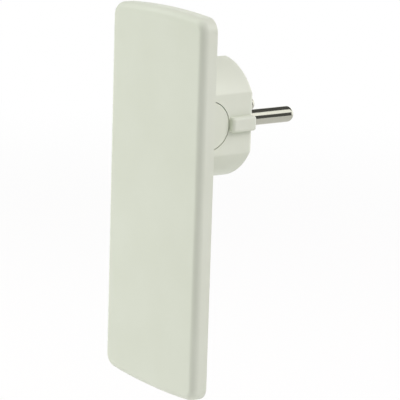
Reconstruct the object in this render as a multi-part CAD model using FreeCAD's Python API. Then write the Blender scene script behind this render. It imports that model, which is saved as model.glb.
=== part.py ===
import FreeCAD, Part
import math
import os

# Flat mains plug: a round plug head with two pins, hinged to a long flat plate.
# The plate hides the wiring, and pulling its lower end outwards levers the head out of the wall.
# Frame: origin in the middle of the pin face, +Y along the pins into the wall, +Z up the plate,
# +X to the right as seen from the room. All sizes are millimetres.

# Pins and pin face
pin_diameter = 4.8
pin_length = 19.0
pin_spacing = 19.0
pin_tip_flat_radius = 0.4
pin_neck_step = 0.2
pin_neck_show = 0.2
pin_ring_depth = 0.6
pin_flange_lip = 0.9
pin_flange_thickness = 1.2
pin_shank_radius = 1.3
pin_shank_room = 0.45
pin_cup_depth = 2.0
retainer_margin = 0.3

# Plug head
head_diameter = 36.2
head_depth = 19.2
head_edge_radius = 1.4
head_wall = 3.2
face_rim_wall = 2.3
guide_rib_height = 4.4
guide_rib_reach = 1.85
guide_rib_radius = 0.9
guide_rib_end_radius = 1.3
guide_rib_root = 1.0
insert_depth = 6.0
back_thickness = 1.2
boss_radius = 2.2
boss_side_margin = 2.45

# Hinge between head and plate
pivot_setback = 3.2
ear_radius = 7.15
ear_thickness = 3.25
ear_skin = 0.65
pocket_floor = 1.2
hinge_pin_radius = 1.5
hinge_boss_wall = 1.1
hinge_boss_height = 0.7
open_angle = 18.0

# Earth contacts
earth_strip_width = 5.0
earth_strip_thickness = 0.8
earth_strip_recess = 1.3
earth_strip_room = 3.7
earth_strip_setback = 1.2
earth_slot_gap = 0.5
earth_hole_height = 10.0
earth_bore_radius = 2.5
earth_sleeve_wall = 0.6
earth_sleeve_tail = 1.1
earth_mouth_depth = 1.8
earth_pin_reach = 14.3
earth_eye_wall = 1.2
earth_tab_height = 4.0
earth_slit_width = 0.5
earth_slit_stop = 1.0

# Plate
plate_width = 46.0
plate_top = 31.8
plate_bottom = 79.7
plate_arch = 1.2
plate_corner_radius = 4.3
plate_edge_radius = 2.3
front_wall = 1.3
side_wall = 2.1
rear_rim_wall = 1.2
rear_cover_thickness = 1.2
cover_boss_radius = 2.2
cover_boss_margin = 0.8
top_screw_inset = 7.5
middle_screw_drop = 30.0
bottom_screw_inset = 8.0

# Leads, strips and cord inlet
lead_radius = 1.0
lead_core_radius = 0.65
lead_bend = 1.4
lead_axis_straight = 0.3
lead_first_run = 0.9
lead_drop = 4.5
lead_gap = 0.4
wiring_slack = 0.5
lead_window_margin = 0.4
barrel_length = 4.0
lead_end_height = 8.5
strip_width = 2.4
strip_thickness = 0.8
tray_floor = 0.4
tray_rib = 0.6
tray_margin = 1.5
sheet_thickness = 0.15
cord_channel_wall = 0.8
inlet_width = 9.8
bush_wall = 0.6
bush_length = 7.0
bush_flange_lip = 1.3
bush_flange_length = 1.5
clamp_thickness = 0.8
clamp_length = 3.0
clamp_setback = 3.0
clamp_screw_room = 1.5
clamp_end = 0.4
clamp_side_gap = 1.0
cord_fan = 4.0
barrel_setback = 1.5

# Fasteners
cover_screw_head = 1.9
cover_screw_shank = 1.0
small_screw_head = 1.6
small_screw_shank = 0.9
screw_head_edge = 0.25
screw_end_gap = 0.4
screw_grip = 4.0
cover_front_skin = 1.2
retainer_screw_end = 2.0
retainer_head_height = 0.9
recess_width = 0.35
recess_depth = 0.5
recess_share = 0.6

# Clearances
slip = 0.15
seam = 0.2
shaft_clearance = 0.06
rest_gap = 0.2
film_gap = 0.06
root = 0.2

# Worked-out places in the head
pin_radius = pin_diameter / 2
pin_x = pin_spacing / 2
pin_neck_radius = pin_radius - pin_neck_step
pin_flange_radius = pin_radius + pin_flange_lip
head_radius = head_diameter / 2
cavity_x = pin_x + pin_shank_radius + pin_shank_room
pocket_x = cavity_x + pocket_floor
ear_inner_x = pocket_x + rest_gap
flat_x = ear_inner_x + ear_thickness
hinge_boss_x = cavity_x - hinge_boss_height
hinge_boss_radius = hinge_pin_radius + hinge_boss_wall
pocket_radius = ear_radius + seam
pivot_depth = head_depth - pivot_setback
pivot_y = -pivot_depth
pin_shank_end = pivot_depth - lead_drop
earth_strip_end = pivot_depth - earth_strip_room
earth_sleeve_end = earth_strip_end + earth_sleeve_tail
cavity_radius = head_radius - head_wall
insert_radius = head_radius - face_rim_wall
insert_x = flat_x - face_rim_wall
ledge_y = -insert_depth - slip
boss_ring = cavity_radius - small_screw_head - slip - film_gap * 2
boss_x = cavity_x - boss_side_margin
boss_z = math.sqrt(boss_ring ** 2 - boss_x ** 2)
strip_outer_z = head_radius - earth_strip_recess
strip_inner_z = strip_outer_z - earth_strip_thickness
sleeve_radius = earth_bore_radius + earth_sleeve_wall

# Worked-out places in the plate
plate_thickness = front_wall + rear_cover_thickness + 2 * lead_radius + wiring_slack
plate_back = -head_depth
plate_front = plate_back - plate_thickness
head_rear = plate_back + rest_gap
front_inside = plate_front + front_wall
rear_inside = plate_back - rear_cover_thickness
wiring_y = (front_inside + rear_inside) / 2
lead_axis_run = lead_bend + lead_axis_straight
lead_spacing = 2 * lead_axis_run + 2 * lead_radius + lead_gap
barrel_radius = lead_radius
channel_front = plate_front + cord_channel_wall
channel_rear = plate_back - cord_channel_wall
channel_y = (channel_front + channel_rear) / 2
inlet_height = channel_rear - channel_front - 2 * film_gap
bush_low = -plate_bottom - plate_arch + slip
bush_top = bush_low + bush_length
clamp_screw_x = inlet_width / 2 + small_screw_head + clamp_screw_room
clamp_half = clamp_screw_x + small_screw_head + clamp_end
clamp_z = bush_top + clamp_setback + clamp_length / 2
channel_half = clamp_half + clamp_side_gap
channel_top = clamp_z + clamp_length / 2 + cord_fan
strip_low = channel_top + barrel_setback + barrel_length
strip_top = -lead_end_height - barrel_length
beyond = 2 * plate_bottom
touch = 0.01
LEAD_PLACES = {"line": lead_spacing, "earth": 0.0, "neutral": -lead_spacing}


def vec(x, y, z):
    return FreeCAD.Vector(x, y, z)


X_AXIS = vec(1, 0, 0)
Y_AXIS = vec(0, 1, 0)


def block(x_low, x_high, y_low, y_high, z_low, z_high):
    return Part.makeBox(x_high - x_low, y_high - y_low, z_high - z_low, vec(x_low, y_low, z_low))


def rod_y(radius, x, z, y_low, y_high):
    return Part.makeCylinder(radius, y_high - y_low, vec(x, y_low, z), Y_AXIS)


def rod_x(radius, y, z, x_low, x_high):
    return Part.makeCylinder(radius, x_high - x_low, vec(x_low, y, z), X_AXIS)


def mirror_x(shape):
    return shape.mirror(vec(0, 0, 0), X_AXIS)


def fuse_all(first, others):
    result = first
    for other in others:
        result = result.fuse(other)
    return result.removeSplitter()


def cut_all(shape, tools):
    for tool in tools:
        shape = shape.cut(tool)
    return shape


def open_up(shape):
    """Turn a shape as the plate turns about the hinge when it is fully open."""
    turned = shape.copy()
    turned.rotate(vec(0, pivot_y, 0), X_AXIS, -open_angle)
    return turned


# Screws

def screw_blank(x, z, y_head, way, length, head, shank, grow=0.0):
    """Countersunk screw on Y; way is +1 where its tip points to +Y and -1 where it points to -Y."""
    slope = head - shank
    rim = screw_head_edge
    outline = [
        (0, 0), (head + grow, 0), (head + grow, rim), (shank + grow, rim + slope),
        (shank + grow, length + grow), (0, length + grow),
    ]
    points = [vec(x + r, y_head + way * along, z) for r, along in outline]
    face = Part.Face(Part.makePolygon(points + points[:1]))
    solid = face.revolve(vec(x, 0, z), Y_AXIS, 360)
    return Part.Solid(solid.Shells[0]) if solid.ShapeType != "Solid" else solid


def recess_bars(x, z, y_head, way, head):
    arm = head * recess_share
    deep = sorted((y_head - way * root, y_head + way * recess_depth))
    across = block(x - arm, x + arm, deep[0], deep[1], z - recess_width / 2, z + recess_width / 2)
    upright = block(x - recess_width / 2, x + recess_width / 2, deep[0], deep[1], z - arm, z + arm)
    return [across, upright]


def screw(x, z, y_head, way, length, head, shank):
    blank = screw_blank(x, z, y_head, way, length, head, shank)
    return cut_all(blank, recess_bars(x, z, y_head, way, head))


# Leads: straight runs joined by tangent arcs

def lead_path(points, bend):
    edges = []
    current = points[0]
    for before, corner, after in zip(points, points[1:], points[2:]):
        arriving = (corner - before).normalize()
        leaving = (after - corner).normalize()
        turn = arriving.getAngle(leaving)
        reach = bend * math.tan(turn / 2)
        start = corner - arriving * reach
        end = corner + leaving * reach
        inward = (leaving - arriving).normalize()
        middle = corner + inward * (bend / math.cos(turn / 2) - bend)
        edges.append(Part.LineSegment(current, start).toShape())
        edges.append(Part.Arc(start, middle, end).toShape())
        current = end
    edges.append(Part.LineSegment(current, points[-1]).toShape())
    return Part.Wire(edges)


def lead_tube(points):
    path = lead_path(points, lead_bend)
    heading = points[1] - points[0]
    section = Part.Wire([Part.makeCircle(lead_radius, points[0], heading)])
    return path.makePipeShell([section], True, False)


# Plug head

def head_envelope(extra=0.0):
    """The room between the pin face and the plate, whatever the hinge angle; extra moves its rear in."""
    solid = rod_y(head_radius, 0, 0, head_rear + extra, 0)
    side = block(-flat_x, flat_x, -beyond, beyond, -beyond, beyond)
    swung_plate = open_up(block(-beyond, beyond, -beyond, head_rear + extra, -beyond, beyond))
    return solid.common(side).cut(swung_plate)


def guide_rib():
    """Raised bar on the flat side of the head, level with the pins, from the pocket's rim to the face."""
    half = guide_rib_height / 2
    outer = flat_x + guide_rib_reach
    bar = block(flat_x - guide_rib_root, outer, pivot_y, 0, -half, half).cut(hinge_pocket())
    near_end = [edge for edge in bar.Edges if abs(edge.CenterOfMass.x - outer) < touch
                and isinstance(edge.Curve, Part.Circle)]
    bar = bar.makeFillet(guide_rib_end_radius, near_end)
    rounded = []
    for edge in bar.Edges:
        middle = edge.CenterOfMass
        on_outer_face = edge.BoundBox.XMin > outer - touch and not isinstance(edge.Curve, Part.Circle)
        on_front_edge = abs(middle.y) < touch and abs(middle.z) > half - touch
        if on_outer_face or on_front_edge:
            rounded.append(edge)
    return bar.makeFillet(guide_rib_radius, rounded)


def earth_slot():
    half = earth_strip_width / 2 + earth_slot_gap
    end = -earth_strip_end - rest_gap
    low = cavity_radius - rest_gap * 2
    upper = block(-half, half, end, beyond, low, beyond)
    return [upper, upper.mirror(vec(0, 0, 0), vec(0, 0, 1))]


def hinge_pocket():
    return rod_x(pocket_radius, pivot_y, 0, pocket_x, beyond)


def boss_places():
    return {"face": (boss_x, boss_z), "back": (boss_x, -boss_z)}


def head_cavity(gap=0.0):
    room = rod_y(cavity_radius - gap, 0, 0, -beyond, ledge_y)
    return room.common(block(-cavity_x + gap, cavity_x - gap, -beyond, beyond, -beyond, beyond))


def insert_room(gap=0.0):
    room = rod_y(insert_radius - gap, 0, 0, ledge_y + gap, beyond)
    return room.common(block(-insert_x + gap, insert_x - gap, -beyond, beyond, -beyond, beyond))


def face_screw_length():
    return insert_depth + screw_grip


def back_screw_length():
    return back_thickness + screw_grip


def make_head_shell():
    shell = head_envelope()
    front_edges = [edge for edge in shell.Edges if abs(edge.BoundBox.YMin) < touch]
    shell = shell.makeFillet(head_edge_radius, front_edges)
    shell = fuse_all(shell, [guide_rib(), mirror_x(guide_rib())])
    shell = cut_all(shell, [hinge_pocket(), mirror_x(hinge_pocket())])
    shell = cut_all(shell, [head_cavity(), insert_room()] + earth_slot())
    inner = head_envelope(back_thickness + slip)
    bosses = []
    for x, z in boss_places().values():
        post = rod_y(boss_radius, x, z, -beyond, ledge_y).common(inner)
        bosses += [post, mirror_x(post)]
    pivot_boss = rod_x(hinge_boss_radius, pivot_y, 0, hinge_boss_x, pocket_x - pocket_floor / 2)
    pivot_boss = pivot_boss.common(inner)
    bosses += [pivot_boss, mirror_x(pivot_boss)]
    shell = fuse_all(shell, bosses)
    holes = []
    face_x, face_z = boss_places()["face"]
    back_x, back_z = boss_places()["back"]
    for side in (1, -1):
        holes.append(rod_y(small_screw_shank, side * face_x, face_z, -face_screw_length(), beyond))
        holes.append(rod_y(small_screw_shank, side * back_x, back_z,
                           -beyond, head_rear + back_screw_length()))
    bore = rod_x(hinge_pin_radius, pivot_y, 0, 0, pocket_x + rest_gap)
    holes += [bore, mirror_x(bore)]
    return cut_all(shell, holes)


def make_face_insert():
    """Disc that carries the pins, let into the front of the shell."""
    disc = insert_room(slip).common(block(-beyond, beyond, -insert_depth, 0, -beyond, beyond))
    cuts = []
    for x in (pin_x, -pin_x):
        cuts.append(rod_y(pin_neck_radius + film_gap / 2, x, 0, -beyond, beyond))
        cuts.append(rod_y(pin_radius + film_gap, x, 0, -pin_ring_depth, beyond))
        cuts.append(rod_y(pin_flange_radius + slip, x, 0, -beyond, -insert_depth + pin_flange_thickness))
    cuts.append(rod_y(earth_bore_radius + film_gap, 0, earth_hole_height, -beyond, beyond))
    cuts.append(rod_y(sleeve_radius + film_gap, 0, earth_hole_height, -beyond, -earth_mouth_depth))
    face_x, face_z = boss_places()["face"]
    for side in (1, -1):
        hole = screw_blank(side * face_x, face_z, 0, -1, face_screw_length(),
                           small_screw_head, small_screw_shank, film_gap)
        cuts.append(hole)
        cuts.append(rod_y(small_screw_shank, side * retainer_screw_x(), 0,
                          -beyond, -retainer_screw_end))
    return cut_all(disc, cuts)


def retainer_screw_x():
    return (pin_x - pin_flange_radius - slip) * 0.75


def make_pin(side):
    """Solid round pin with a thinner neck in the insert, a flange behind it and a shank for its lead."""
    flange_front = -insert_depth + pin_flange_thickness
    rod = rod_y(pin_radius, 0, 0, pin_neck_show, pin_length)
    tip = [edge for edge in rod.Edges if edge.BoundBox.YMin > pin_length - touch]
    rod = rod.makeFillet(pin_radius - pin_tip_flat_radius, tip)
    neck = rod_y(pin_neck_radius, 0, 0, -insert_depth, pin_neck_show + root)
    flange = rod_y(pin_flange_radius, 0, 0, -insert_depth, flange_front)
    shank = rod_y(pin_shank_radius, 0, 0, -pin_shank_end, flange_front)
    pin = fuse_all(rod, [neck, flange, shank])
    cup = rod_y(lead_core_radius + film_gap / 2, 0, 0, -beyond, -pin_shank_end + pin_cup_depth)
    pin = pin.cut(cup)
    pin.translate(vec(side * pin_x, 0, 0))
    return pin


def make_pin_retainer():
    """Bar behind the insert that keeps both pins in it."""
    half = pin_flange_radius + retainer_margin
    top = -insert_depth - film_gap
    bar = block(-cavity_x + slip, cavity_x - slip, top - back_thickness, top, -half, half)
    cuts = []
    for side in (1, -1):
        cuts.append(rod_y(pin_shank_radius + slip, side * pin_x, 0, -beyond, beyond))
        cuts.append(rod_y(small_screw_shank + film_gap, side * retainer_screw_x(), 0, -beyond, beyond))
    return cut_all(bar, cuts)


def make_retainer_screws():
    seat = -insert_depth - film_gap - back_thickness
    screws = []
    for side in (1, -1):
        x = side * retainer_screw_x()
        low = seat - film_gap - retainer_head_height
        head = rod_y(small_screw_head, x, 0, low, seat - film_gap)
        tip = -retainer_screw_end - screw_end_gap
        shank = rod_y(small_screw_shank - film_gap, x, 0, seat - film_gap, tip)
        body = fuse_all(head, [shank])
        half = recess_width / 2
        slot = block(x - beyond, x + beyond, low - root, low + recess_depth, -half, half)
        screws.append(body.cut(slot))
    return Part.makeCompound(screws)


def make_earth_bracket():
    """One brass strip: two contact legs in the rim's slots, joined behind the pins."""
    half = earth_strip_width / 2
    rear = -earth_strip_end
    strap_front = rear + earth_strip_thickness
    strap = block(-half, half, rear, strap_front, -strip_outer_z, strip_outer_z)
    leg = block(-half, half, rear, -earth_strip_setback, strip_inner_z, strip_outer_z)
    lower_leg = leg.mirror(vec(0, 0, 0), vec(0, 0, 1))
    eye = rod_y(sleeve_radius + earth_eye_wall, 0, earth_hole_height, rear, strap_front)
    tab_half = earth_tab_height / 2
    tab = block(earth_lead_start() - lead_radius, 0, rear, strap_front, -tab_half, tab_half)
    bracket = fuse_all(strap, [leg, lower_leg, eye, tab])
    bracket = bracket.cut(rod_y(sleeve_radius + film_gap, 0, earth_hole_height, -beyond, beyond))
    return bracket


def make_earth_sleeve():
    """Spring sleeve for a socket's own earth pin, split by two slits at its rear."""
    z = earth_hole_height
    front = -earth_mouth_depth - film_gap
    tube = rod_y(sleeve_radius, 0, z, -earth_sleeve_end, front)
    tube = tube.cut(rod_y(earth_bore_radius, 0, z, -beyond, beyond))
    slit_end = -earth_strip_end + earth_strip_thickness + earth_slit_stop
    half = earth_slit_width / 2
    slit = block(-beyond, beyond, slit_end, -insert_depth, z - half, z + half)
    return tube.cut(slit)


def make_head_back():
    """Bent plate that closes the head; its upper half slopes to leave the plate room to swing."""
    plate = head_envelope().cut(head_envelope(back_thickness)).common(head_cavity(slip))
    window = block(-lead_window_x(), lead_window_x(), -beyond, pivot_y,
                   -lead_window_z(), lead_window_z() + lead_swing())
    pin_room = rod_y(earth_bore_radius + rest_gap, 0, earth_hole_height, -earth_pin_reach, 0)
    cuts = [window, pin_room]
    back_x, back_z = boss_places()["back"]
    for side in (1, -1):
        cuts.append(screw_blank(side * back_x, back_z, head_rear, 1, back_screw_length(),
                                small_screw_head, small_screw_shank, film_gap))
    return cut_all(plate, cuts)


def make_face_screws():
    x, z = boss_places()["face"]
    length = face_screw_length() - screw_end_gap
    made = [screw(side * x, z, -film_gap, -1, length, small_screw_head, small_screw_shank - film_gap)
            for side in (1, -1)]
    return Part.makeCompound(made)


def make_back_screws():
    x, z = boss_places()["back"]
    length = back_screw_length() - screw_end_gap
    made = [screw(side * x, z, head_rear + film_gap, 1, length,
                  small_screw_head, small_screw_shank - film_gap) for side in (1, -1)]
    return Part.makeCompound(made)


def make_hinge_pin(side):
    pin = rod_x(hinge_pin_radius, pivot_y, 0, hinge_boss_x, flat_x - ear_skin - rest_gap)
    return pin if side > 0 else mirror_x(pin)


# Leads meet on the hinge axis, so that opening the plate only twists them

def lead_window_x():
    return lead_spacing + lead_radius + lead_window_margin


def lead_window_z():
    return lead_radius + lead_window_margin


def lead_swing():
    """How far a lead rises at the back of the head when the plate is opened."""
    return (head_depth - pivot_depth) * math.tan(math.radians(open_angle))


def meeting_x(name):
    return LEAD_PLACES[name] + lead_axis_run * (-1 if name != "line" else 1)


def earth_lead_start():
    return -2 * lead_axis_run


def make_line_head_lead():
    start = vec(pin_x, -pin_shank_end - film_gap, 0)
    meet = meeting_x("line")
    points = [
        start, start + vec(0, -lead_first_run, 0),
        vec(meet + lead_axis_run, pivot_y, 0), vec(meet, pivot_y, 0),
    ]
    tube = lead_tube(points)
    core = rod_y(lead_core_radius, pin_x, 0, start.y, -pin_shank_end + pin_cup_depth - rest_gap)
    return tube.fuse(core).removeSplitter()


def make_earth_head_lead():
    x = earth_lead_start()
    start = vec(x, -earth_strip_end - film_gap, 0)
    return lead_tube([start, vec(x, pivot_y, 0), vec(meeting_x("earth"), pivot_y, 0)])


def make_plate_lead(name):
    x = LEAD_PLACES[name]
    meet = meeting_x(name)
    away = math.copysign(film_gap, x - meet)
    points = [
        vec(meet + away, pivot_y, 0), vec(x, pivot_y, 0),
        vec(x, wiring_y, 0), vec(x, wiring_y, -lead_end_height + film_gap),
    ]
    tube = lead_tube(points)
    low = strip_top + root
    core = Part.makeCylinder(lead_core_radius, -lead_end_height + root - low, vec(x, wiring_y, low))
    return tube.fuse(core).removeSplitter()


# Plate

def plate_outline(inset, y):
    """Face of the plate in its own plane, with gently arched ends, moved in by inset."""
    half = plate_width / 2 - inset
    top = plate_top - inset
    bottom = -plate_bottom + inset
    arch = plate_arch * (half / (plate_width / 2)) ** 2
    right = Part.LineSegment(vec(half, y, bottom), vec(half, y, top))
    upper = Part.Arc(vec(half, y, top), vec(0, y, top + arch), vec(-half, y, top))
    left = Part.LineSegment(vec(-half, y, top), vec(-half, y, bottom))
    lower = Part.Arc(vec(-half, y, bottom), vec(0, y, bottom - arch), vec(half, y, bottom))
    return Part.Face(Part.Wire([side.toShape() for side in (right, upper, left, lower)]))


def plate_blank(inset, y_low, y_high):
    blank = plate_outline(inset, y_low).extrude(vec(0, y_high - y_low, 0))
    corners = [edge for edge in blank.Edges
               if edge.BoundBox.XLength < touch and edge.BoundBox.ZLength < touch]
    return blank.makeFillet(max(plate_corner_radius - inset, plate_corner_radius / 4), corners)


def cover_screw_places():
    """Six places near the long edges: top, middle and bottom."""
    x = plate_width / 2 - side_wall - cover_boss_radius - cover_boss_margin
    heights = (plate_top - top_screw_inset, -middle_screw_drop, -plate_bottom + bottom_screw_inset)
    return [(side * x, z) for z in heights for side in (1, -1)]


def clamp_screw_head():
    return small_screw_shank + clamp_thickness - screw_head_edge - root


def clamp_screw_places():
    return [(side * clamp_screw_x, clamp_z) for side in (1, -1)]


def oval_y_section(width, height, z_low, z_high):
    """Flat oval prism on Z, centred on the cord channel."""
    radius = height / 2
    half = width / 2 - radius
    middle = block(-half, half, channel_y - radius, channel_y + radius, z_low, z_high)
    ends = [Part.makeCylinder(radius, z_high - z_low, vec(side * half, channel_y, z_low))
            for side in (1, -1)]
    return fuse_all(middle, ends)


def cord_channel():
    low = -plate_bottom + side_wall
    return block(-channel_half, channel_half, channel_front, channel_rear, low, channel_top)


def cord_inlet():
    return oval_y_section(inlet_width, inlet_height, -beyond, -plate_bottom + side_wall + slip)


def cover_screw_length():
    return plate_thickness - cover_front_skin


def make_front_cover():
    cover = plate_blank(0, plate_front, plate_back)
    front_edges = [edge for edge in cover.Edges if edge.BoundBox.YMax < plate_front + touch]
    cover = cover.makeFillet(plate_edge_radius, front_edges)
    cover = cover.cut(plate_blank(side_wall, front_inside, plate_back + root))
    cover = cover.cut(plate_blank(rear_rim_wall, rear_inside, plate_back + root))
    bosses = [rod_y(cover_boss_radius, x, z, front_inside - root, rear_inside - slip)
              for x, z in cover_screw_places()]
    cover = fuse_all(cover, bosses)
    cover = cover.cut(cord_channel())
    clamp_seat = channel_rear - slip - clamp_thickness - film_gap
    clamp_bosses = [rod_y(small_screw_head, x, z, channel_front - root, clamp_seat)
                    for x, z in clamp_screw_places()]
    cover = fuse_all(cover, clamp_bosses)
    holes = [rod_y(cover_screw_shank, x, z, plate_back - cover_screw_length(), beyond)
             for x, z in cover_screw_places()]
    holes += [rod_y(small_screw_shank, x, z, channel_front + screw_end_gap / 2, beyond)
              for x, z in clamp_screw_places()]
    return cut_all(cover, holes + [cord_inlet()])


def hinge_ear():
    ear = rod_x(ear_radius, pivot_y, 0, ear_inner_x, flat_x)
    rim = [edge for edge in ear.Edges if edge.BoundBox.XMin > flat_x - touch]
    ear = ear.makeFillet(seam, rim)
    ear = ear.common(block(0, beyond, plate_back - rear_cover_thickness / 2, beyond, -beyond, beyond))
    bore = rod_x(hinge_pin_radius + shaft_clearance, pivot_y, 0, 0, flat_x - ear_skin)
    return ear.cut(bore)


def make_rear_cover():
    """Panel let into the back of the plate, with the two round ears that the head turns between."""
    panel = plate_blank(rear_rim_wall + slip, rear_inside, plate_back)
    panel = fuse_all(panel, [hinge_ear(), mirror_x(hinge_ear())])
    window = block(-lead_window_x(), lead_window_x(), -beyond, beyond, -lead_window_z(), lead_window_z())
    cuts = [window, cord_channel(), cord_inlet()]
    for x, z in cover_screw_places():
        cuts.append(screw_blank(x, z, plate_back, -1, cover_screw_length(),
                                cover_screw_head, cover_screw_shank, film_gap))
    return cut_all(panel, cuts)


def make_cover_screws():
    length = cover_screw_length() - film_gap
    shank = cover_screw_shank - film_gap
    made = [screw(x, z, plate_back - film_gap, -1, length, cover_screw_head, shank)
            for x, z in cover_screw_places()]
    return Part.makeCompound(made)


def make_strip(name):
    """Brass strip with a crimp barrel at each end."""
    x = LEAD_PLACES[name]
    half = strip_width / 2
    floor = front_inside + film_gap + tray_floor + film_gap
    flat = block(x - half, x + half, floor, floor + strip_thickness,
                 strip_low, strip_top)
    barrels = []
    for low in (strip_top - root, strip_low - barrel_length + root):
        barrel = Part.makeCylinder(barrel_radius, barrel_length, vec(x, wiring_y, low))
        barrels.append(barrel)
    strip = fuse_all(flat, barrels)
    wire_hole = lead_core_radius + film_gap / 2
    upper = Part.makeCylinder(wire_hole, barrel_length, vec(x, wiring_y, strip_top))
    lower_z = strip_low - barrel_length
    lower = Part.makeCylinder(wire_hole, barrel_length - root, vec(x, wiring_y, lower_z))
    return cut_all(strip, [upper, lower])


def tray_half_width():
    return lead_spacing + strip_width / 2 + film_gap + tray_rib


def make_conductor_tray():
    """Insulating tray with a rib on each side of every strip."""
    half = tray_half_width()
    low = strip_low + tray_margin
    high = strip_top - tray_margin
    floor_y = front_inside + film_gap
    top_y = rear_inside - sheet_thickness - 2 * film_gap
    tray = block(-half, half, floor_y, floor_y + tray_floor, low, high)
    ribs = []
    for x in LEAD_PLACES.values():
        for side in (1, -1):
            inner = x + side * (strip_width / 2 + film_gap)
            edges = sorted((inner, inner + side * tray_rib))
            ribs.append(block(edges[0], edges[1], floor_y, top_y, low, high))
    return fuse_all(tray, ribs)


def make_insulating_sheet():
    half = tray_half_width() + tray_margin
    return block(-half, half, rear_inside - film_gap - sheet_thickness, rear_inside - film_gap,
                 strip_low - barrel_length, -lead_end_height + tray_margin)


def make_cord_bush():
    """Soft oval bush in the plate's lower edge, trapped by its flange."""
    width = inlet_width - 2 * film_gap
    height = inlet_height - 2 * film_gap
    tube = oval_y_section(width, height, bush_low, bush_top)
    flange_low = -plate_bottom + side_wall + slip
    flange_top = flange_low + bush_flange_length
    flange = oval_y_section(width + 2 * bush_flange_lip, height, flange_low, flange_top)
    bush = fuse_all(tube, [flange])
    return bush.cut(oval_y_section(width - 2 * bush_wall, height - 2 * bush_wall, -beyond, 0))


def make_cord_clamp():
    rear = channel_rear - slip
    bar = block(-clamp_half, clamp_half, rear - clamp_thickness, rear,
                clamp_z - clamp_length / 2, clamp_z + clamp_length / 2)
    through = clamp_thickness * 2
    cuts = [screw_blank(x, z, rear, -1, through, clamp_screw_head(), small_screw_shank, film_gap)
            for x, z in clamp_screw_places()]
    return cut_all(bar, cuts)


def make_clamp_screws():
    rear = channel_rear - slip
    length = rear - channel_front - screw_end_gap
    shank = small_screw_shank - film_gap
    made = [screw(x, z, rear - film_gap, -1, length, clamp_screw_head(), shank)
            for x, z in clamp_screw_places()]
    return Part.makeCompound(made)


PARTS = {
    "head_shell": make_head_shell,
    "face_insert": make_face_insert,
    "face_screws": make_face_screws,
    "line_pin": lambda: make_pin(1),
    "neutral_pin": lambda: make_pin(-1),
    "pin_retainer": make_pin_retainer,
    "retainer_screws": make_retainer_screws,
    "earth_bracket": make_earth_bracket,
    "earth_sleeve": make_earth_sleeve,
    "head_back": make_head_back,
    "back_screws": make_back_screws,
    "line_lead_head": make_line_head_lead,
    "neutral_lead_head": lambda: mirror_x(make_line_head_lead()),
    "earth_lead_head": make_earth_head_lead,
    "hinge_pin_right": lambda: make_hinge_pin(1),
    "hinge_pin_left": lambda: make_hinge_pin(-1),
    "front_cover": make_front_cover,
    "rear_cover": make_rear_cover,
    "cover_screws": make_cover_screws,
    "line_strip": lambda: make_strip("line"),
    "neutral_strip": lambda: make_strip("neutral"),
    "earth_strip": lambda: make_strip("earth"),
    "line_lead_plate": lambda: make_plate_lead("line"),
    "neutral_lead_plate": lambda: make_plate_lead("neutral"),
    "earth_lead_plate": lambda: make_plate_lead("earth"),
    "conductor_tray": make_conductor_tray,
    "insulating_sheet": make_insulating_sheet,
    "cord_bush": make_cord_bush,
    "cord_clamp": make_cord_clamp,
    "clamp_screws": make_clamp_screws,
}


def main():
    os.makedirs("parts", exist_ok=True)
    for name, make in PARTS.items():
        shape = make()
        shape.exportStep("parts/" + name + ".step")
        print(name, len(shape.Solids), "solids", round(shape.Volume, 2), "mm3", shape.isValid())


main()
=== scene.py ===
import math
import bmesh
import bpy
from mathutils import Matrix, Vector


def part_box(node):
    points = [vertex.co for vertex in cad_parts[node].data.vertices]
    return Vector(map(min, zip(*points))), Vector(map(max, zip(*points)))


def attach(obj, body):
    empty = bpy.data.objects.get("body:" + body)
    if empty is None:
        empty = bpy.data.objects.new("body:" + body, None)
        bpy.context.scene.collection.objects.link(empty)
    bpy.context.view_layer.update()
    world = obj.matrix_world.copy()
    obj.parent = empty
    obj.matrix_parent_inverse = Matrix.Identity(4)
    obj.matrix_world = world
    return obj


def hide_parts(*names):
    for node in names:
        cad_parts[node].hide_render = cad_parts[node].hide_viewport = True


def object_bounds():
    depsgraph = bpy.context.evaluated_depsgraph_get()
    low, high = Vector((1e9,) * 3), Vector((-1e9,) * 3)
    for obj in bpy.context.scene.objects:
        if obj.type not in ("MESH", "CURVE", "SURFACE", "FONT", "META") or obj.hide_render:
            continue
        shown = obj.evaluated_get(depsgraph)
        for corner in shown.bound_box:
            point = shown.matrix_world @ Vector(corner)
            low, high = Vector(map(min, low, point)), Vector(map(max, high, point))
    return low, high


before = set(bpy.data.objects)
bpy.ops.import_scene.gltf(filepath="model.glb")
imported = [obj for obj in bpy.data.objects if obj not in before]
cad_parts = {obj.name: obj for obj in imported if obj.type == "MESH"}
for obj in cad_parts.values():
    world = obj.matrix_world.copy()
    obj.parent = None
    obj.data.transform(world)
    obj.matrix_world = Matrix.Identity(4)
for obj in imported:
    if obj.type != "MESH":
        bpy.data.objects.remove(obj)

# A flat mains plug: a round plug head with two pins, hinged to a long flat plate.
# Lengths are metres, so sizes in millimetres are multiplied by mm.

cad_low, cad_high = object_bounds()
scene = bpy.context.scene
mm = 0.001

# Merging the frame's loose triangles
merge_gap = 0.002 * mm
flat_angle = math.radians(0.6)
smooth_angle = math.radians(32)

# Edges as the mould, the press or the lathe leaves them
moulded_edge = 0.15 * mm
pressed_edge = 0.12 * mm
thin_edge = 0.04 * mm
film_edge = 0.008 * mm
lathe_edge = 0.15 * mm
edge_facets = 2
lathe_edge_facets = 3

# Pins
pin_radius = 2.4 * mm
pin_tip_flat = 0.5 * mm
pin_shank_radius = 1.3 * mm
pin_flange_radius = 3.3 * mm
pin_neck_radius = 2.2 * mm
pin_neck_show = 0.2 * mm
pin_flange_thickness = 1.2 * mm
pin_cup_radius = 0.68 * mm
pin_cup_depth = 2.0 * mm
pin_dome_facets = 14
pin_sides = 64
insert_depth = 6.0 * mm

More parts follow.
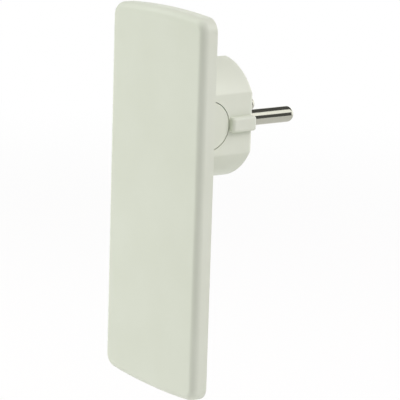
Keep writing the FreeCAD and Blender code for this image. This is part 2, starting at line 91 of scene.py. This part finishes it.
# Screws; the shares are of the core's radius
cover_screw_head = 1.9 * mm
cover_screw_core = 0.74 * mm
cover_screw_thread = 0.93 * mm
small_screw_head = 1.6 * mm
small_screw_core = 0.64 * mm
small_screw_thread = 0.83 * mm
clamp_screw_head = 1.25 * mm
middle_screw_height = -30.0 * mm
screw_rim = 0.25 * mm
screw_edge = 0.08 * mm
screw_point_share = 0.8
screw_tip_share = 0.35
screw_sides = 40
thread_pitch = 0.8 * mm
thread_half_width = 0.28 * thread_pitch
thread_runout = 0.3 * thread_pitch
thread_root_share = 0.9
thread_steps = 20

# Cross recess of the screws: its reach is a share of the head's radius, its taper of its own reach
recess_depth = 0.55 * mm
recess_width = 0.38 * mm
recess_reach = 0.62
recess_taper = 0.55
recess_cutter_above = 0.3 * mm

# Contact legs of the earth bracket
contact_leg_room = 1.5 * mm
contact_crest = -6.0 * mm
contact_bow = 0.45 * mm
contact_span = 5.0 * mm
contact_stretches = 12

# Cord bush, and the rounded edge of the plate that it follows
plate_edge_radius = 2.3 * mm
bush_recess = 0.12 * mm
bush_mouth_facets = 8
bush_cutter_reach = 3 * mm

# Leads
lead_radius = 1.0 * mm
lead_bend = 1.4 * mm
stripe_side = 0.7
stripe_blur = 0.04

# Light levels of the studio
ambient = 0.33
flag_level = 0.09
window_level = 1.23
card_level = 0.7

# Floor; the lens sees it lit near the object and white further off
floor_drop = 60 * mm
floor_size = 3.0
floor_lit_radius = 0.35
floor_white_radius = 0.8
floor_lit_share = 0.2

# Dark cloth round the set, between two elevations in degrees, in patches of 4 degrees
flag_distance = 1.6
flag_low = -8
flag_high = 64
flag_columns = 90
flag_rows = 45

# Bright windows in the cloth: from and to in azimuth, then from and to in elevation, in degrees
windows = (
    (20, 75, 24, 52),  # above the camera
    (118, 165, 24, 52),  # high behind, on the right
    (295, 340, 24, 52),  # high in front, on the left
    (150, 215, -8, 24),  # low behind
    (215, 236, -8, 20),  # low behind, on the left
)

# Grey card on the floor and the cloth past it; the sectors are azimuths in degrees
card_radius = 0.66
card_height = 1 * mm
card_facets = 72
card_sector = (105, 215)
card_cloth_sector = (105, 150)

# Soft lamps: name, azimuth and elevation in degrees, watts, tint
softbox_size = 0.6
softbox_distance = 0.9
softboxes = (
    ("left_softbox", -50, 30, 6.25, (1.0, 1.0, 0.98)),
    ("right_softbox", 120, 45, 5.3, (1.0, 0.95, 1.0)),
    ("back_softbox", 190, 25, 1.9, (1.0, 0.93, 0.99)),
)

# Camera, fitted to the photograph's view; angles are degrees, the sensor and the lens millimetres
look_at = Vector((0, -10 * mm, -30 * mm))
view_azimuth = 53.547
view_elevation = 12.655
view_roll = 1.804
view_distance = 0.633125
view_sensor = 36.0
view_lens = 191.942
view_near = 50 * mm
view_far = 20.0
camera_aside = 2.854 * mm
camera_up = 4.617 * mm

# Noise stays near its middle, so this part of its range is spread over a colour or a gloss
noise_range = {"From Min": 0.3, "From Max": 0.7}

# Sockets of a node that mixes two colours
first_colour = 6
second_colour = 7
mixed_colour = 2


# Colours and nodes

def linear(hex_colour):
    """An sRGB hex colour as linear RGBA."""
    channels = [int(hex_colour[i:i + 2], 16) / 255 for i in (0, 2, 4)]
    return [c / 12.92 if c <= 0.04045 else ((c + 0.055) / 1.055) ** 2.4 for c in channels] + [1.0]


def grains(size):
    """The noise scale whose grains are about size millimetres across."""
    return 1 / (size * mm)


def add(tree, kind, inputs=None, **settings):
    """Add a node with its settings; inputs are values or links, by socket name or number."""
    node = tree.nodes.new(kind)
    for name, value in settings.items():
        setattr(node, name, value)
    for name, value in (inputs or {}).items():
        if isinstance(value, bpy.types.NodeSocket):
            tree.links.new(value, node.inputs[name])
        else:
            node.inputs[name].default_value = value
    return node


def emptied_tree(holder):
    """The nodes of a material or a world, with none in it yet."""
    holder.use_nodes = True
    holder.node_tree.nodes.clear()
    return holder.node_tree


def new_material(name):
    """A material and its tree, with no nodes in it yet."""
    material = bpy.data.materials.new(name)
    return material, emptied_tree(material)


def mottled(tree, pattern, first, second):
    """A colour that wanders between two hex colours as a noise does."""
    share = add(tree, "ShaderNodeMapRange", {"Value": pattern, **noise_range}).outputs[0]
    return add(tree, "ShaderNodeMix", {
        "Factor": share, first_colour: linear(first), second_colour: linear(second),
    }, data_type="RGBA").outputs[mixed_colour]


def set_shader(tree, colour, pattern, smoothest, roughest, others):
    """Close a material with its shader, whose roughness wanders between two values as a noise does."""
    roughness = add(tree, "ShaderNodeMapRange", {
        "Value": pattern, **noise_range, "To Min": smoothest, "To Max": roughest,
    }).outputs[0]
    shader = add(tree, "ShaderNodeBsdfPrincipled", {"Base Color": colour, "Roughness": roughness, **others})
    add(tree, "ShaderNodeOutputMaterial", {"Surface": shader.outputs[0]})


# Materials of the pieces; their patterns lie in each piece's own coordinates

def moulded_abs():
    """ABS from a spark-eroded mould: off-white with a green tint, satin, with a very fine even grain."""
    material, tree = new_material("moulded_abs_off_white")
    place = add(tree, "ShaderNodeTexCoord").outputs["Object"]
    clouds = add(tree, "ShaderNodeTexNoise", {"Vector": place, "Scale": grains(18.0)}).outputs["Fac"]
    patches = add(tree, "ShaderNodeTexNoise", {"Vector": place, "Scale": grains(2.5)}).outputs["Fac"]
    grain = add(tree, "ShaderNodeTexNoise", {
        "Vector": place, "Scale": grains(0.3), "Detail": 1.0,
    }).outputs["Fac"]
    relief = add(tree, "ShaderNodeBump", {
        "Height": grain, "Distance": 0.01 * mm, "Strength": 0.25,
    }).outputs[0]
    colour = mottled(tree, clouds, "d6dbcb", "d9decf")
    set_shader(tree, colour, patches, 0.36, 0.44, {"Normal": relief, "IOR": 1.53})
    return material


def bright_nickel():
    """Bright nickel on turned brass: a slightly warm mirror with fine rub marks along the pin."""
    material, tree = new_material("bright_nickel_plating")
    place = add(tree, "ShaderNodeTexCoord").outputs["Object"]
    along = add(tree, "ShaderNodeMapping", {"Vector": place, "Scale": (1.0, 0.04, 1.0)}).outputs[0]
    clouds = add(tree, "ShaderNodeTexNoise", {"Vector": place, "Scale": grains(1.5)}).outputs["Fac"]
    marks = add(tree, "ShaderNodeTexNoise", {
        "Vector": along, "Scale": grains(0.12), "Detail": 3.0,
    }).outputs["Fac"]
    relief = add(tree, "ShaderNodeBump", {"Height": marks, "Distance": 0.001 * mm}).outputs[0]
    colour = mottled(tree, clouds, "d2d1c3", "d6d5c8")
    set_shader(tree, colour, marks, 0.08, 0.16, {"Normal": relief, "Metallic": 1.0})
    return material


def rolled_brass():
    """Cold-rolled brass strip: warm yellow, half bright, with slight tarnish and lines along the strip."""
    material, tree = new_material("rolled_brass_strip")
    place = add(tree, "ShaderNodeTexCoord").outputs["Object"]
    along = add(tree, "ShaderNodeMapping", {"Vector": place, "Scale": (1.0, 0.05, 0.05)}).outputs[0]
    tarnish = add(tree, "ShaderNodeTexNoise", {
        "Vector": place, "Scale": grains(3.0), "Detail": 3.0,
    }).outputs["Fac"]
    lines = add(tree, "ShaderNodeTexNoise", {"Vector": along, "Scale": grains(0.15)}).outputs["Fac"]
    relief = add(tree, "ShaderNodeBump", {"Height": lines, "Distance": 0.003 * mm}).outputs[0]
    colour = mottled(tree, tarnish, "d9b868", "c9a85f")
    set_shader(tree, colour, lines, 0.22, 0.36, {"Normal": relief, "Metallic": 1.0})
    return material


def zinc_plated_steel():
    """Steel with bright zinc: cool grey with a faint cloudiness and a soft shine."""
    material, tree = new_material("zinc_plated_steel")
    place = add(tree, "ShaderNodeTexCoord").outputs["Object"]
    clouds = add(tree, "ShaderNodeTexNoise", {
        "Vector": place, "Scale": grains(0.8), "Detail": 3.0,
    }).outputs["Fac"]
    crystals = add(tree, "ShaderNodeTexNoise", {"Vector": place, "Scale": grains(0.25)}).outputs["Fac"]
    set_shader(tree, mottled(tree, clouds, "b8bab9", "c8c9c6"), crystals, 0.24, 0.38, {"Metallic": 1.0})
    return material


def glass_filled_nylon():
    """Natural nylon with glass fibre, moulded: matt warm white with short fibre streaks on the skin."""
    material, tree = new_material("glass_filled_nylon_natural")
    place = add(tree, "ShaderNodeTexCoord").outputs["Object"]
    upright = add(tree, "ShaderNodeMapping", {"Vector": place, "Scale": (1.0, 1.0, 0.2)}).outputs[0]
    streaks = add(tree, "ShaderNodeTexNoise", {
        "Vector": upright, "Scale": grains(0.35), "Detail": 3.0,
    }).outputs["Fac"]
    relief = add(tree, "ShaderNodeBump", {"Height": streaks, "Distance": 0.006 * mm}).outputs[0]
    colour = mottled(tree, streaks, "dcdad0", "e4e2d9")
    set_shader(tree, colour, streaks, 0.48, 0.6, {"Normal": relief, "IOR": 1.53})
    return material


def polyester_film():
    """Polyester film, calendered: milky and smooth, with a slight waviness."""
    material, tree = new_material("polyester_film_milky")
    place = add(tree, "ShaderNodeTexCoord").outputs["Object"]
    waves = add(tree, "ShaderNodeTexNoise", {"Vector": place, "Scale": grains(6.0)}).outputs["Fac"]
    relief = add(tree, "ShaderNodeBump", {"Height": waves, "Distance": 0.02 * mm}).outputs[0]
    colour = mottled(tree, waves, "e2e5e2", "e8ebe8")
    set_shader(tree, colour, waves, 0.14, 0.2, {"Normal": relief, "IOR": 1.6})
    return material


def soft_elastomer():
    """Thermoplastic rubber in the housing's colour, moulded: matt, with a fine dusty grain."""
    material, tree = new_material("soft_elastomer_off_white")
    place = add(tree, "ShaderNodeTexCoord").outputs["Object"]
    grain = add(tree, "ShaderNodeTexNoise", {"Vector": place, "Scale": grains(0.2)}).outputs["Fac"]
    relief = add(tree, "ShaderNodeBump", {"Height": grain, "Distance": 0.008 * mm}).outputs[0]
    colour = mottled(tree, grain, "cccfc2", "d2d5c8")
    set_shader(tree, colour, grain, 0.62, 0.75, {"Normal": relief, "IOR": 1.48})
    return material


def lead_sleeve(name, colours, stripe_colours=None):
    """Extruded PVC lead sleeve: smooth, half glossy and faintly mottled; stripes run along two sides."""
    material, tree = new_material(name)
    place = add(tree, "ShaderNodeTexCoord").outputs["Object"]
    clouds = add(tree, "ShaderNodeTexNoise", {"Vector": place, "Scale": grains(0.6)}).outputs["Fac"]
    skin = add(tree, "ShaderNodeTexNoise", {"Vector": place, "Scale": grains(0.3)}).outputs["Fac"]
    colour = mottled(tree, clouds, *colours)
    if stripe_colours:
        side = add(tree, "ShaderNodeAttribute", attribute_name="across").outputs["Fac"]
        side = add(tree, "ShaderNodeMath", {0: side}, operation="ABSOLUTE").outputs[0]
        on_stripe = add(tree, "ShaderNodeMapRange", {
            "Value": side, "From Min": stripe_side - stripe_blur, "From Max": stripe_side + stripe_blur,
        }).outputs[0]
        colour = add(tree, "ShaderNodeMix", {
            "Factor": on_stripe, first_colour: colour, second_colour: mottled(tree, clouds, *stripe_colours),
        }, data_type="RGBA").outputs[mixed_colour]
    set_shader(tree, colour, skin, 0.3, 0.4, {"IOR": 1.53})
    return material


ABS = moulded_abs()
NICKEL = bright_nickel()
BRASS = rolled_brass()
STEEL = zinc_plated_steel()
NYLON = glass_filled_nylon()
FILM = polyester_film()
RUBBER = soft_elastomer()
BROWN = lead_sleeve("pvc_sleeve_brown", ("5a3320", "643a26"))
BLUE = lead_sleeve("pvc_sleeve_blue", ("2457a0", "2b60aa"))
GREEN_YELLOW = lead_sleeve("pvc_sleeve_green_yellow", ("3f8f3a", "47983f"), ("e3c92a", "e9d135"))


# Making pieces

def merged_copy(node):
    """A frame node's loose triangles as one closed shape, with its flat faces joined."""
    shape = bmesh.new()
    shape.from_mesh(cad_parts[node].data)
    bmesh.ops.remove_doubles(shape, verts=shape.verts, dist=merge_gap)
    bmesh.ops.dissolve_limit(shape, angle_limit=flat_angle, verts=shape.verts, edges=shape.edges)
    return shape


def round_edges(shape, size):
    """Take the sharpness off every hard edge."""
    hard = [edge for edge in shape.edges if edge.is_manifold and edge.calc_face_angle() > smooth_angle]
    bmesh.ops.bevel(shape, geom=hard, offset=size, offset_type="OFFSET", affect="EDGES",
                    segments=edge_facets, profile=0.5, clamp_overlap=True, material=-1)


def to_mesh(shape, name):
    """A shape as a mesh, without the frame's own normals, which don't fit its new edges."""
    mesh = bpy.data.meshes.new(name)
    shape.to_mesh(mesh)
    shape.free()
    if "custom_normal" in mesh.attributes:
        mesh.attributes.remove(mesh.attributes["custom_normal"])
    return mesh


def make_piece(name, shape, material, body, node):
    """Show a shape as a piece that rides on a body and stands for the frame's node."""
    mesh = to_mesh(shape, name)
    mesh.materials.append(material)
    mesh.shade_smooth()
    mesh.set_sharp_from_angle(angle=smooth_angle)
    piece = bpy.data.objects.new(name, mesh)
    scene.collection.objects.link(piece)
    weigh = piece.modifiers.new("flat_faces_stay_flat", "WEIGHTED_NORMAL")
    weigh.keep_sharp = True
    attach(piece, body)
    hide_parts(node)


def carve(shape, cutter):
    """Cut one closed shape out of another, and clear the faces without area that the cut leaves."""
    base = bpy.data.objects.new("base", to_mesh(shape, "base"))
    tool = bpy.data.objects.new("tool", to_mesh(cutter, "tool"))
    for thing in (base, tool):
        scene.collection.objects.link(thing)
    cut = base.modifiers.new("cut", "BOOLEAN")
    cut.operation = "DIFFERENCE"
    cut.solver = "EXACT"
    cut.object = tool
    result = bmesh.new()
    result.from_object(base, bpy.context.evaluated_depsgraph_get())
    bmesh.ops.dissolve_degenerate(result, dist=merge_gap, edges=result.edges)
    bmesh.ops.remove_doubles(result, verts=result.verts, dist=merge_gap)
    for thing in (base, tool):
        mesh = thing.data
        bpy.data.objects.remove(thing)
        bpy.data.meshes.remove(mesh)
    return result


def join_shapes(first, second):
    """Put the second shape into the first."""
    mesh = to_mesh(second, "part")
    first.from_mesh(mesh)
    bpy.data.meshes.remove(mesh)
    return first


def turned(profile, sides):
    """Spin points of (radius, along) about the Y axis; ends that lie on the axis become poles."""
    shape = bmesh.new()
    corners = [shape.verts.new((radius, along, 0)) for radius, along in profile]
    lines = [shape.edges.new(pair) for pair in zip(corners, corners[1:])]
    bmesh.ops.spin(shape, geom=corners + lines, cent=(0, 0, 0), axis=(0, 1, 0), dvec=(0, 0, 0),
                   angle=2 * math.pi, steps=sides, use_merge=True, use_duplicate=False)
    bmesh.ops.remove_doubles(shape, verts=shape.verts, dist=merge_gap)
    bmesh.ops.recalc_face_normals(shape, faces=shape.faces)
    return shape


def extruded(outline, vec):
    """A closed shape from the corners of one face, drawn out by vec; also its far corners."""
    shape = bmesh.new()
    face = shape.faces.new([shape.verts.new(corner) for corner in outline])
    drawn = bmesh.ops.extrude_face_region(shape, geom=[face])["geom"]
    far = [item for item in drawn if isinstance(item, bmesh.types.BMVert)]
    bmesh.ops.translate(shape, verts=far, vec=vec)
    return shape, far


def bend(across, along, radius, start, end, facets=lathe_edge_facets):
    """Points on an arc round (across, along), from the start angle to the end angle in degrees."""
    angles = [math.radians(start + (end - start) * i / facets) for i in range(facets + 1)]
    return [(across + radius * math.cos(a), along + radius * math.sin(a)) for a in angles]


# Pins

def make_pin(node):
    """Turned pin: domed tip, plain body, neck and flange held in the insert, shank with a solder cup."""
    low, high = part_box(node)
    dome = pin_radius - pin_tip_flat
    back = -insert_depth
    front = back + pin_flange_thickness
    edge = lathe_edge
    cup_floor = low.y + pin_cup_depth
    profile = [(0, high.y)]
    profile += bend(pin_tip_flat, high.y - dome, dome, 90, 0, pin_dome_facets)
    profile += bend(pin_radius - edge, pin_neck_show + edge, edge, 0, -90)
    profile += [(pin_neck_radius, pin_neck_show), (pin_neck_radius, front)]
    profile += bend(pin_flange_radius - edge, front - edge, edge, 90, 0)
    profile += bend(pin_flange_radius - edge, back + edge, edge, 0, -90)
    profile += [(pin_shank_radius, back)]
    profile += bend(pin_shank_radius - edge, low.y + edge, edge, 0, -90)
    profile += [(pin_cup_radius, low.y), (pin_cup_radius, cup_floor), (0, cup_floor)]
    shape = turned(profile, pin_sides)
    bmesh.ops.translate(shape, verts=shape.verts, vec=((low.x + high.x) / 2, 0, 0))
    make_piece(node + "_turned", shape, NICKEL, "plug_head", node)


make_pin("line_pin")
make_pin("neutral_pin")


# Screws

def thread(core, crest, start, end):
    """Closed helical ridge about the Y axis between start and end, which is lower."""
    turns = (start - end) / thread_pitch
    count = int(turns * thread_steps)
    root, half = core * thread_root_share, thread_half_width
    outline = [(root, start + half, 0), (crest, start, 0), (root, start - half, 0)]
    ridge = bmesh.new()
    corners = [ridge.verts.new(place) for place in outline]
    face = ridge.faces.new(corners)
    bmesh.ops.spin(ridge, geom=[face] + list(face.edges) + corners, cent=(0, 0, 0), axis=(0, 1, 0),
                   dvec=(0, (end - start) / count, 0), angle=turns * 2 * math.pi, steps=count,
                   use_merge=False, use_duplicate=False)
    bmesh.ops.remove_doubles(ridge, verts=ridge.verts, dist=merge_gap)
    bmesh.ops.recalc_face_normals(ridge, faces=ridge.faces)
    return ridge


def cross_recess(head):
    """Tapered cross that a screwdriver fits, standing in the top of a head at height 0."""
    reach, half, above = head * recess_reach, recess_width / 2, recess_cutter_above
    outline = [
        (half, reach), (half, half), (reach, half), (reach, -half), (half, -half), (half, -reach),
        (-half, -reach), (-half, -half), (-reach, -half), (-reach, half), (-half, half), (-half, reach),
    ]
    cutter, deep = extruded([(x, above, z) for x, z in outline], (0, -above - recess_depth, 0))
    bmesh.ops.scale(cutter, verts=deep, vec=(recess_taper, 1, recess_taper))
    bmesh.ops.recalc_face_normals(cutter, faces=cutter.faces)
    return cutter


def make_screw(head, core, crest, length):
    """Countersunk self-tapping screw along -Y, its head's top at height 0."""
    cone_end = -screw_rim - (head - crest)
    point_start = -length + core * screw_point_share
    profile = [(0, 0), (head - screw_edge, 0), (head, -screw_edge), (head, -screw_rim), (core, cone_end)]
    profile += [(core, point_start), (core * screw_tip_share, -length), (0, -length)]
    body = carve(turned(profile, screw_sides), cross_recess(head))
    return join_shapes(body, thread(core, crest, cone_end - thread_runout, point_start))


def set_screws(one, places, tip_up=False):
    """Copies of a screw, the tops of their heads at the places; tip_up turns the tips to +Y."""
    mesh = to_mesh(one, "screw")
    shape = bmesh.new()
    for place in places:
        copy = bmesh.new()
        copy.from_mesh(mesh)
        if tip_up:
            bmesh.ops.rotate(copy, verts=copy.verts, cent=(0, 0, 0), matrix=Matrix.Rotation(math.pi, 3, "Z"))
        bmesh.ops.translate(copy, verts=copy.verts, vec=place)
        join_shapes(shape, copy)
    bpy.data.meshes.remove(mesh)
    return shape


def make_screw_pair(node, head, body, tip_up=False):
    """Two small screws at one height, one each side of the middle."""
    low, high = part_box(node)
    x, z = high.x - head, (low.z + high.z) / 2
    top = low.y if tip_up else high.y
    one = make_screw(head, small_screw_core, small_screw_thread, high.y - low.y)
    shape = set_screws(one, [(side * x, top, z) for side in (1, -1)], tip_up)
    make_piece(node + "_cross", shape, STEEL, body, node)


def make_cover_screws():
    """Six screws along the plate's sides: two near each end and two between."""
    low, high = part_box("cover_screws")
    x = high.x - cover_screw_head
    heights = (high.z - cover_screw_head, middle_screw_height, low.z + cover_screw_head)
    one = make_screw(cover_screw_head, cover_screw_core, cover_screw_thread, high.y - low.y)
    shape = set_screws(one, [(side * x, high.y, z) for z in heights for side in (1, -1)])
    make_piece("cover_screws_cross", shape, STEEL, "plate", "cover_screws")


make_screw_pair("face_screws", small_screw_head, "plug_head")
make_screw_pair("back_screws", small_screw_head, "plug_head", tip_up=True)
make_screw_pair("clamp_screws", clamp_screw_head, "plate")
make_cover_screws()


# Pieces whose form the frame already has: merged, with the edges that the tool leaves

def soften(node, name, edge, material, body):
    """The frame's own form with its hard edges rounded."""
    shape = merged_copy(node)
    round_edges(shape, edge)
    make_piece(name, shape, material, body, node)


soften("head_shell", "head_shell_moulded", moulded_edge, ABS, "plug_head")
soften("face_insert", "face_insert_moulded", moulded_edge, ABS, "plug_head")
soften("head_back", "head_back_moulded", moulded_edge, ABS, "plug_head")
soften("front_cover", "front_cover_moulded", moulded_edge, ABS, "plate")
soften("rear_cover", "rear_cover_moulded", moulded_edge, ABS, "plate")
soften("pin_retainer", "pin_retainer_bar", pressed_edge, NYLON, "plug_head")
soften("conductor_tray", "conductor_tray_moulded", thin_edge, NYLON, "plate")
soften("cord_clamp", "cord_clamp_bar", pressed_edge, NYLON, "plate")
soften("insulating_sheet", "insulating_film", film_edge, FILM, "plate")
soften("earth_sleeve", "earth_sleeve_split", pressed_edge, BRASS, "plug_head")
soften("retainer_screws", "retainer_screws_slotted", thin_edge, STEEL, "plug_head")
soften("hinge_pin_right", "hinge_pin_right_ground", pressed_edge, STEEL, "plug_head")
soften("hinge_pin_left", "hinge_pin_left_ground", pressed_edge, STEEL, "plug_head")
for lead in ("line", "neutral", "earth"):
    soften(lead + "_strip", lead + "_strip_pressed", thin_edge, BRASS, "plate")


# Earth bracket

def make_earth_bracket():
    """Bent brass strip whose two contact legs bow outwards and tuck in at their front ends."""
    shape = merged_copy("earth_bracket")
    low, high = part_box("earth_bracket")
    round_edges(shape, pressed_edge)
    for i in range(1, contact_stretches):
        along = low.y + (high.y - low.y) * i / contact_stretches
        bmesh.ops.bisect_plane(shape, geom=shape.verts[:] + shape.edges[:] + shape.faces[:],
                               plane_co=(0, along, 0), plane_no=(0, 1, 0))
    for vert in shape.verts:
        if abs(vert.co.z) > high.z - contact_leg_room and vert.co.y > contact_crest:
            slack = (vert.co.y - contact_crest) / contact_span
            vert.co.z -= math.copysign(contact_bow * slack ** 2, vert.co.z)
    make_piece("earth_bracket_pressed", shape, BRASS, "plug_head", "earth_bracket")


make_earth_bracket()


# Cord bush

def make_cord_bush():
    """Soft bush whose mouth lies just under the rounded edge of the plate, and follows it."""
    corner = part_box("front_cover")[0]
    along, out = corner.y + plate_edge_radius, corner.z + plate_edge_radius
    mouth = bend(along, out, plate_edge_radius - bush_recess, 180, 270, bush_mouth_facets)
    front, under = corner.y - bush_cutter_reach, corner.z - bush_cutter_reach
    outline = mouth + [(0, mouth[-1][1]), (0, under), (front, under), (front, out)]
    cutter = extruded([(corner.x, y, z) for y, z in outline], (-2 * corner.x, 0, 0))[0]
    bmesh.ops.recalc_face_normals(cutter, faces=cutter.faces)
    shape = carve(merged_copy("cord_bush"), cutter)
    round_edges(shape, pressed_edge)
    make_piece("cord_bush_soft", shape, RUBBER, "plate", "cord_bush")


make_cord_bush()


# Leads

# How deep in the plate the middles of the leads lie
wiring_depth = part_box("earth_lead_plate")[0].y + lead_radius


def side_of_lead(point):
    """Which side of a lead a point is on, -1 to 1: upwards in the head, round the bend to the front."""
    back, down = point.y - wiring_depth, -point.z
    if back > lead_bend:
        return point.z / lead_radius
    if down > lead_bend:
        return -back / lead_radius
    return (math.hypot(lead_bend - back, lead_bend - down) - lead_bend) / lead_radius


def make_lead(node, material, body):
    """Lead with its insulation; the attribute across is the side of the lead, for a stripe."""
    shape = merged_copy(node)
    across = shape.verts.layers.float.new("across")
    for vert in shape.verts:
        vert[across] = side_of_lead(vert.co)
    make_piece(node + "_insulated", shape, material, body, node)


for end, body in (("head", "plug_head"), ("plate", "plate")):
    make_lead("line_lead_" + end, BROWN, body)
    make_lead("neutral_lead_" + end, BLUE, body)
    make_lead("earth_lead_" + end, GREEN_YELLOW, body)


# Studio

def studio_white(tree, dim, white):
    """A shader that gives dim as light, and shows white to the lens, metal and glass."""
    path = add(tree, "ShaderNodeLightPath").outputs
    seen = add(tree, "ShaderNodeMath", {0: path["Is Camera Ray"], 1: path["Is Glossy Ray"]},
               operation="MAXIMUM").outputs[0]
    seen = add(tree, "ShaderNodeMath", {0: seen, 1: path["Is Transmission Ray"]},
               operation="MAXIMUM").outputs[0]
    return add(tree, "ShaderNodeMixShader", {0: seen, 1: dim, 2: white}).outputs[0]


def make_world():
    """Even light from all sides, which looks white behind the set."""
    world = bpy.data.worlds.new("pale_studio")
    scene.world = world
    tree = emptied_tree(world)
    light = add(tree, "ShaderNodeBackground", {"Color": (1, 1, 1, 1), "Strength": ambient}).outputs[0]
    white = add(tree, "ShaderNodeBackground", {"Color": (1, 1, 1, 1), "Strength": 1.0}).outputs[0]
    add(tree, "ShaderNodeOutputWorld", {"Surface": studio_white(tree, light, white)})


def floor_paint():
    """Matt pale paint; the lens sees it lit near the object, for its shadow, and white further off."""
    material, tree = new_material("pale_floor")
    matt = add(tree, "ShaderNodeBsdfDiffuse", {"Color": linear("f0f0ee")}).outputs[0]
    white = add(tree, "ShaderNodeEmission", {"Strength": 1.0}).outputs[0]
    place = add(tree, "ShaderNodeTexCoord").outputs["Object"]
    flat = add(tree, "ShaderNodeMapping", {"Vector": place, "Scale": (1.0, 1.0, 0.0)}).outputs[0]
    away = add(tree, "ShaderNodeVectorMath", {0: flat}, operation="LENGTH").outputs["Value"]
    share = add(tree, "ShaderNodeMapRange", {
        "Value": away, "From Min": floor_lit_radius, "From Max": floor_white_radius,
        "To Min": floor_lit_share, "To Max": 0.0,
    }, interpolation_type="SMOOTHSTEP").outputs[0]
    shown = add(tree, "ShaderNodeMixShader", {0: share, 1: white, 2: matt}).outputs[0]
    add(tree, "ShaderNodeOutputMaterial", {"Surface": studio_white(tree, matt, shown)})
    return material


def glow(name, level):
    """A surface that shows metal and gloss one even level."""
    material, tree = new_material(name)
    even = add(tree, "ShaderNodeEmission", {"Strength": level}).outputs[0]
    add(tree, "ShaderNodeOutputMaterial", {"Surface": even})
    return material


def staged(name, shape, *materials):
    """Put a surface round the part that isn't part of it."""
    mesh = to_mesh(shape, name)
    for material in materials:
        mesh.materials.append(material)
    thing = bpy.data.objects.new(name, mesh)
    scene.collection.objects.link(thing)
    return thing


def only_in_gloss(thing):
    """Keep a staged surface from the lens and from the light, so only reflections show it."""
    thing.visible_camera = False
    thing.visible_diffuse = False
    thing.visible_shadow = False


def bearing(face):
    """The azimuth and elevation, in degrees, in which the part sees a face of the surround."""
    middle = face.calc_center_median().normalized()
    return math.degrees(math.atan2(middle.x, -middle.y)) % 360, math.degrees(math.asin(middle.z))


def direction(azimuth, elevation):
    """The way from the part to what stands at an azimuth and an elevation in degrees."""
    a, e = math.radians(azimuth), math.radians(elevation)
    return Vector((math.sin(a) * math.cos(e), -math.cos(a) * math.cos(e), math.sin(e)))


def make_floor():
    """A wide floor below the part, whose lower end doesn't touch it."""
    shape = bmesh.new()
    bmesh.ops.create_grid(shape, x_segments=1, y_segments=1, size=floor_size,
                          matrix=Matrix.Translation((0, 0, cad_low.z - floor_drop)))
    staged("floor", shape, floor_paint())


def make_surround(cloth):
    """Dark cloth round the set with bright windows in it, which the pins reflect as their stripes."""
    shape = bmesh.new()
    bmesh.ops.create_uvsphere(shape, u_segments=flag_columns, v_segments=flag_rows, radius=flag_distance)
    open_faces = []
    for face in shape.faces:
        azimuth, elevation = bearing(face)
        if not flag_low < elevation < flag_high:
            open_faces.append(face)
        elif any(a < azimuth < b and c < elevation < d for a, b, c, d in windows):
            face.material_index = 1
    bmesh.ops.delete(shape, geom=open_faces, context="FACES")
    only_in_gloss(staged("dark_flags", shape, cloth, glow("bright_window", window_level)))


def make_grey_card(cloth):
    """A grey card on the floor behind the pins' side, with dark cloth past it."""
    shape = bmesh.new()
    bmesh.ops.create_circle(shape, cap_ends=True, cap_tris=True, segments=card_facets, radius=card_radius)
    card = set(shape.faces)
    border = [edge for edge in shape.edges if edge.is_boundary]
    rim = bmesh.ops.extrude_edge_only(shape, edges=border)["geom"]
    rim = [item for item in rim if isinstance(item, bmesh.types.BMVert)]
    out = flag_distance / card_radius
    bmesh.ops.scale(shape, verts=rim, vec=(out, out, 1))
    away = []
    for face in shape.faces:
        face.material_index = 1 if face in card else 0
        first, last = card_sector if face in card else card_cloth_sector
        if not first < bearing(face)[0] < last:
            away.append(face)
    bmesh.ops.delete(shape, geom=away, context="FACES")
    bmesh.ops.translate(shape, verts=shape.verts, vec=(0, 0, cad_low.z - floor_drop + card_height))
    only_in_gloss(staged("grey_card", shape, cloth, glow("grey_card_paint", card_level)))


def make_softbox(name, azimuth, elevation, power, tint):
    """A soft lamp that faces the middle of the part; gloss shows the windows in its place."""
    back = direction(azimuth, elevation)
    light = bpy.data.lights.new(name, "AREA")
    light.shape = "RECTANGLE"
    light.size = softbox_size
    light.size_y = softbox_size
    light.energy = power
    light.color = tint
    lamp = bpy.data.objects.new(name, light)
    lamp.matrix_world = (Matrix.Translation(look_at + back * softbox_distance)
                         @ back.to_track_quat("Z", "Y").to_matrix().to_4x4())
    lamp.visible_glossy = False
    scene.collection.objects.link(lamp)


def make_camera():
    """The camera, turned a little about its own axis and moved aside as in the photograph."""
    back = direction(view_azimuth, view_elevation)
    right = Vector((0, 0, 1)).cross(back).normalized()
    upright = Matrix((right, back.cross(right), back)).transposed()
    aim = (upright @ Matrix.Rotation(math.radians(view_roll), 3, "Z")).to_4x4()
    camera = bpy.data.cameras.new("camera")
    camera.sensor_width = view_sensor
    camera.lens = view_lens
    camera.clip_start = view_near
    camera.clip_end = view_far
    holder = bpy.data.objects.new("camera", camera)
    stand = look_at + aim @ Vector((camera_aside, camera_up, view_distance))
    holder.matrix_world = Matrix.Translation(stand) @ aim
    scene.collection.objects.link(holder)
    scene.camera = holder


make_world()
make_floor()
flag_cloth = glow("dark_flag_cloth", flag_level)
make_surround(flag_cloth)
make_grey_card(flag_cloth)
for softbox in softboxes:
    make_softbox(*softbox)
make_camera()
scene.view_settings.view_transform = "Standard"
